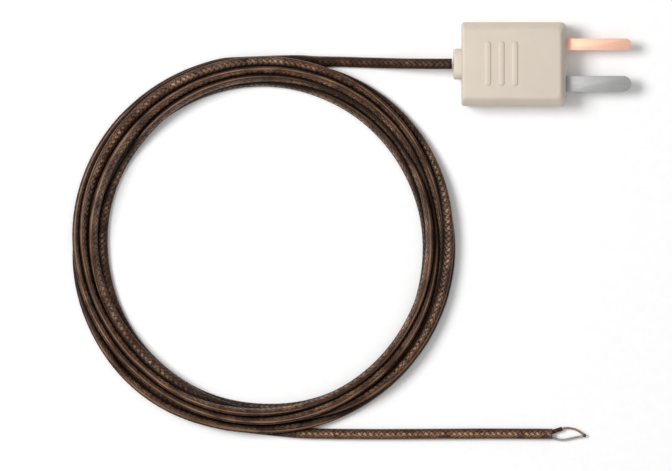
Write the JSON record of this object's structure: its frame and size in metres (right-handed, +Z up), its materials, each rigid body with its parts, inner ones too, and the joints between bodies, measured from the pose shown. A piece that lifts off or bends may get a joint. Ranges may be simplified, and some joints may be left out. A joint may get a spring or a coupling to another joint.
{
  "type": "thermocouple",
  "caption": "Wire thermocouple: beige miniature plug with flat blades, brown braided flat lead wound in a round coil, straight tail and a welded bare-wire tip.",
  "frame": {"origin": "bottom centre of the plug assembly, on the surface that the thermocouple lies on", "axes": "+X out along the blades, +Y across them towards the positive blade, +Z up"},
  "size_m": [0.1131, 0.0841, 0.008],
  "materials": {
    "plug_plastic": "fine moulded matte, warm light grey",
    "collar_plastic": "fine moulded matte, warm light grey",
    "ferrule_brass": "plain turned brass",
    "cable_braid": "brown glass-fibre braid, lacquered",
    "screw_steel": "zinc plated",
    "copper": "clean satin copper",
    "copper_nickel": "satin copper-nickel, grey",
    "positive_core_braid": "brown glass-fibre braid",
    "negative_core_braid": "white glass-fibre braid",
    "weld_bead": "dark oxidised weld"
  },
  "bodies": {
    "root": {"plug_base": "plug_plastic", "plug_cover": "plug_plastic", "cable_collar": "collar_plastic", "crimp_ferrule": "ferrule_brass", "cable_end_in_plug": "cable_braid", "cover_screw": "screw_steel", "threaded_insert": "ferrule_brass", "positive_blade": "copper", "positive_terminal_screw": "screw_steel", "positive_clamp_washer": "screw_steel", "positive_core_in_plug": "positive_core_braid", "positive_wire_in_plug": "copper", "negative_blade": "copper_nickel", "negative_terminal_screw": "screw_steel", "negative_clamp_washer": "screw_steel", "negative_core_in_plug": "negative_core_braid", "negative_wire_in_plug": "copper_nickel", "lead_in_cable": "cable_braid", "cable_coil": "cable_braid", "cable_tail": "cable_braid", "positive_tip_sleeve": "positive_core_braid", "positive_tip_wire": "copper", "negative_tip_wire": "copper_nickel", "measuring_junction": "weld_bead"}
  },
  "joints": []
}
